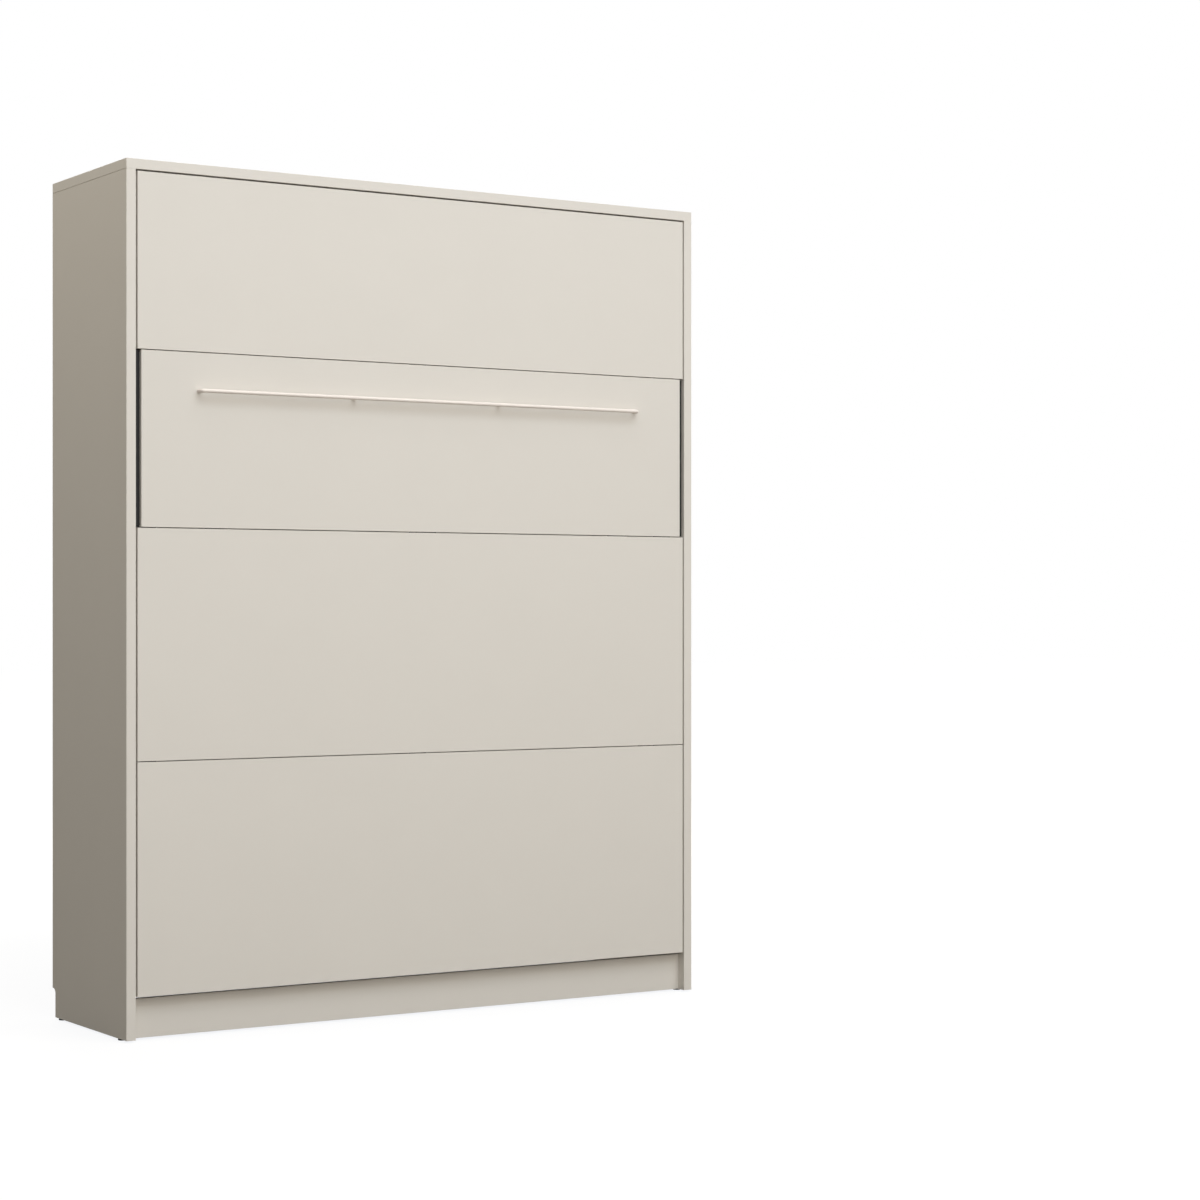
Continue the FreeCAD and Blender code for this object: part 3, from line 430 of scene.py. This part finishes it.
def fastener(work, head_radius, head, shank_radius, grip, outline, recess, place, inward):
    """A head with a sunk drive and a shank with a blunt tip, its seat at the place."""
    segments = 12
    straight_head, crown_scale, drive_scale, recess_scale = 0.6, 0.82, 0.6, 0.8
    straight_shank, tip_scale = 0.85, 0.6
    before = set(work.verts)
    turn = Matrix.Rotation(math.radians(-180 / segments), 4, "Z")
    crown = raise_face(work, disc(work, segments, head_radius, turn, 1), head * straight_head)
    crown = raise_face(work, crown, head * (1 - straight_head), crown_scale)
    drive = raise_face(work, crown, 0.0, drive_scale)
    lay_along(list(drive.verts), outline)
    raise_face(work, drive, -recess, recess_scale)
    neck = raise_face(work, disc(work, segments, head_radius, turn, -1), 0.0, shank_radius / head_radius)
    shank = raise_face(work, neck, -grip * straight_shank)
    raise_face(work, shank, -grip * (1 - straight_shank), tip_scale)
    made = [vert for vert in work.verts if vert not in before]
    bmesh.ops.remove_doubles(work, verts=made, dist=OWN_WELD)
    made = [vert for vert in work.verts if vert not in before]
    aim = (-inward).to_track_quat("Z", "Y").to_matrix().to_4x4()
    bmesh.ops.transform(work, matrix=Matrix.Translation(place) @ aim, verts=made)


def piece_from(work, name, material, body, *replaced):
    mesh = bpy.data.meshes.new(name)
    bmesh.ops.recalc_face_normals(work, faces=work.faces)
    work.to_mesh(mesh)
    work.free()
    mesh.materials.append(material)
    piece = bpy.data.objects.new(name, mesh)
    bpy.context.scene.collection.objects.link(piece)
    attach(piece, body)
    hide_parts(*replaced)
    return piece


def detailed_fasteners(name, node, body, drive):
    """Screws or bolts with a drive in the head, where the node has its plain ones."""
    on_rim, recess_share = 0.98, 0.6
    cross_arm, cross_half, hexagon_radius = 0.5, 0.13, 0.52
    work = bmesh.new()
    for part in loose_parts(node):
        low, high = corners(part)
        size = high - low
        axis = max(range(3), key=lambda a: size[a])
        side = (axis + 1) % 3
        head_radius = size[side] / 2
        middle = (low + high) / 2
        rim = [co[axis] for co in part if abs(co[side] - middle[side]) > head_radius * on_rim]
        outward = Vector([0.0] * 3)
        outward[axis] = math.copysign(1.0, sum(rim) / len(rim) - middle[axis])
        head = max(rim) - min(rim)
        shank = [abs(co[side] - middle[side]) for co in part
                 if not min(rim) - PACKED_WELD < co[axis] < max(rim) + PACKED_WELD]
        place = middle.copy()
        place[axis] = min(rim) if outward[axis] > 0 else max(rim)
        if drive == "cross":
            outline = cross_outline(head_radius * cross_arm, head_radius * cross_half)
        else:
            outline = hexagon_outline(head_radius * hexagon_radius)
        fastener(work, head_radius, head, max(shank), size[axis] - head, outline, head * recess_share,
                 place, -outward)
    piece = piece_from(work, name, ZINC, body, node)


def detailed_cam_locks():
    """Turned cam discs with a cross slot in the face that shows inside the cabinet."""
    segments = 24
    chamfer, chamfer_scale = 0.0006, 0.92
    slot_scale, slot_arm, slot_half, slot_depth, slot_floor_scale = 0.7, 0.62, 0.14, 0.0025, 0.85
    work = bmesh.new()
    turn = Matrix.Rotation(math.radians(-360 / segments), 4, "Z")
    for part in loose_parts("cam_locks"):
        low, high = corners(part)
        radius = (high.y - low.y) / 2
        side = math.copysign(1.0, low.x)
        before = set(work.verts)
        face = raise_face(work, disc(work, segments, radius, turn, 1), (high.x - low.x) - chamfer)
        face = raise_face(work, face, chamfer, chamfer_scale)
        slot = raise_face(work, face, 0.0, slot_scale)
        lay_along(list(slot.verts), cross_outline(radius * slot_arm, radius * slot_half))
        raise_face(work, slot, -slot_depth, slot_floor_scale)
        disc(work, segments, radius, turn, -1)
        made = [vert for vert in work.verts if vert not in before]
        bmesh.ops.remove_doubles(work, verts=made, dist=OWN_WELD)
        made = [vert for vert in work.verts if vert not in before]
        aim = Vector((-side, 0.0, 0.0)).to_track_quat("Z", "Y").to_matrix().to_4x4()
        place = Vector((high.x if side > 0 else low.x, (low.y + high.y) / 2, (low.z + high.z) / 2))
        bmesh.ops.transform(work, matrix=Matrix.Translation(place) @ aim, verts=made)
    piece = piece_from(work, "cam_discs", ZINC, "cabinet", "cam_locks")


detailed_fasteners("cabinet_screws", "hardware_screws", "cabinet", "cross")
detailed_fasteners("front_fixing_screws", "bracket_screws", "bed", "cross")
detailed_fasteners("side_bar_screws", "leg_bar_screws", "support_leg", "cross")
detailed_fasteners("handle_fixing_screws", "handle_screws", "support_leg", "cross")
detailed_fasteners("frame_socket_bolts", "frame_bolts", "bed", "hexagon")
detailed_cam_locks()


FLOOR_TONE = (0.13, 0.117, 0.095, 1.0)
FLOOR_GLOW = (0.87, 0.883, 0.905, 1.0)
FLOOR_PAINTED_SHADE = (0.12, 0.11, 0.1, 1.0)
WHITE = (1.0, 1.0, 1.0, 1.0)


def plain_floor():
    """A wide pale floor that stays near white, keeps a soft shadow and has painted shade where the cabinet
    covers it.
    """
    half_span = 40.0
    white_fade, white_start = 4.0, 0.5
    covered_half_width, side_fade = 0.825, 0.01
    covered_half_depth, covered_middle, end_fade = 0.2075, 0.0425, 0.08
    mesh = bpy.data.meshes.new("floor")
    work = bmesh.new()
    bmesh.ops.create_grid(work, x_segments=1, y_segments=1, size=half_span)
    work.to_mesh(mesh)
    work.free()
    floor = bpy.data.objects.new("floor", mesh)
    bpy.context.scene.collection.objects.link(floor)
    finish = Finish("pale_floor", {"Roughness": 0.9, "Specular IOR Level": 0.0, "Base Color": FLOOR_TONE})
    away = finish.node("ShaderNodeVectorMath", {"operation": "LENGTH"}, {0: finish.place}, outlet="Value")
    tint = finish.blend((away / white_fade - white_start).clamped(), FLOOR_GLOW, WHITE)
    across, along, _ = finish.axes()
    # Painted shade: over the cabinet's footprint the floor's glow is dimmed to a dark tone that stands in for
    # the shadow under the cabinet.
    painted_shade_across = (covered_half_width - abs(across)) / side_fade
    painted_shade_along = (covered_half_depth - abs(along - covered_middle)) / end_fade
    tint = finish.blend(painted_shade_across.clamped() * painted_shade_along.clamped(), tint, FLOOR_PAINTED_SHADE)
    glow = finish.node("ShaderNodeEmission", (), {"Color": tint})
    plain = Wire(finish, finish.surface.outputs[0])
    both = finish.node("ShaderNodeAddShader", (), {0: plain, 1: glow})
    shown = finish.node("ShaderNodeMixShader", (), {0: finish.looked_at(), 1: plain, 2: both})
    finish.feed(finish.tree.nodes["Material Output"].inputs["Surface"], shown)
    mesh.materials.append(finish.material)


def softbox(name, place, aim, size, power, colour=(1.0, 1.0, 1.0)):
    """A rectangular lamp: place, aim, width and height in metres, power in watts."""
    lamp = bpy.data.lights.new(name, "AREA")
    lamp.shape = "RECTANGLE"
    lamp.size, lamp.size_y = size
    lamp.energy = power
    lamp.color = colour
    stand = bpy.data.objects.new(name, lamp)
    stand.location = place
    stand.rotation_euler = (Vector(aim) - Vector(place)).to_track_quat("-Z", "Y").to_euler()
    stand.visible_camera = False
    bpy.context.scene.collection.objects.link(stand)


def studio():
    """White surround with wide softboxes: level and high in front, on both sides, above and behind."""
    scene = bpy.context.scene
    scene.view_settings.view_transform = "Standard"
    world = bpy.data.worlds.new("studio")
    world.use_nodes = True
    scene.world = world
    world.node_tree.nodes.clear()
    sheet = Sheet(world.node_tree)
    fill = sheet.node("ShaderNodeBackground", (), {"Color": (1.0, 0.95, 0.86, 1.0), "Strength": 0.02})
    white = sheet.node("ShaderNodeBackground", (), {"Color": WHITE, "Strength": 1.0})
    mix = sheet.node("ShaderNodeMixShader", (), {0: sheet.looked_at(), 1: fill, 2: white})
    sheet.node("ShaderNodeOutputWorld", (), {"Surface": mix})
    softbox("front_low_box", (0.0, -4.4, 0.9), (0.0, -0.2, 0.8), (6.0, 1.6), 14.0, (1.0, 0.9, 0.74))
    softbox("front_box", (0.2, -5.0, 2.6), (0.0, -0.2, 1.3), (9.0, 4.5), 186.0, (1.0, 0.98, 0.95))
    softbox("high_box", (0.3, -6.5, 8.5), (0.0, -0.2, 1.2), (12.0, 4.0), 450.0, (0.88, 0.94, 1.0))
    softbox("over_box", (0.2, -3.6, 9.5), (0.0, -0.4, 1.0), (10.0, 4.0), 258.0, (1.0, 0.99, 0.98))
    softbox("left_front_box", (-5.0, -3.5, 4.5), (-0.85, 0.0, 1.4), (3.0, 3.0), 6.0, (1.0, 0.86, 0.7))
    softbox("left_box", (-2.9, 0.3, 5.0), (-0.85, 0.1, 1.6), (2.0, 2.0), 71.0, (1.0, 0.92, 0.77))
    softbox("right_box", (6.0, 1.4, 2.6), (0.85, 0.0, 1.3), (4.0, 4.0), 179.0)
    softbox("rear_box", (1.2, 5.6, 4.2), (0.0, 0.2, 1.2), (3.0, 3.0), 217.0)


def photo_camera():
    """A level camera to the left of the cabinet, with the cabinet left of the picture's middle."""
    data = bpy.data.cameras.new("camera")
    data.sensor_width = 36.0
    data.lens = 81.09
    data.shift_y = 0.0102
    data.dof.use_dof = False
    data.clip_end = 200.0
    camera = bpy.data.objects.new("camera", data)
    camera.location = (-3.465, -6.456, 1.061)
    camera.rotation_euler = (math.radians(90.0), 0.0, math.radians(-32.768))
    bpy.context.scene.collection.objects.link(camera)
    bpy.context.scene.camera = camera


plain_floor()
studio()
photo_camera()
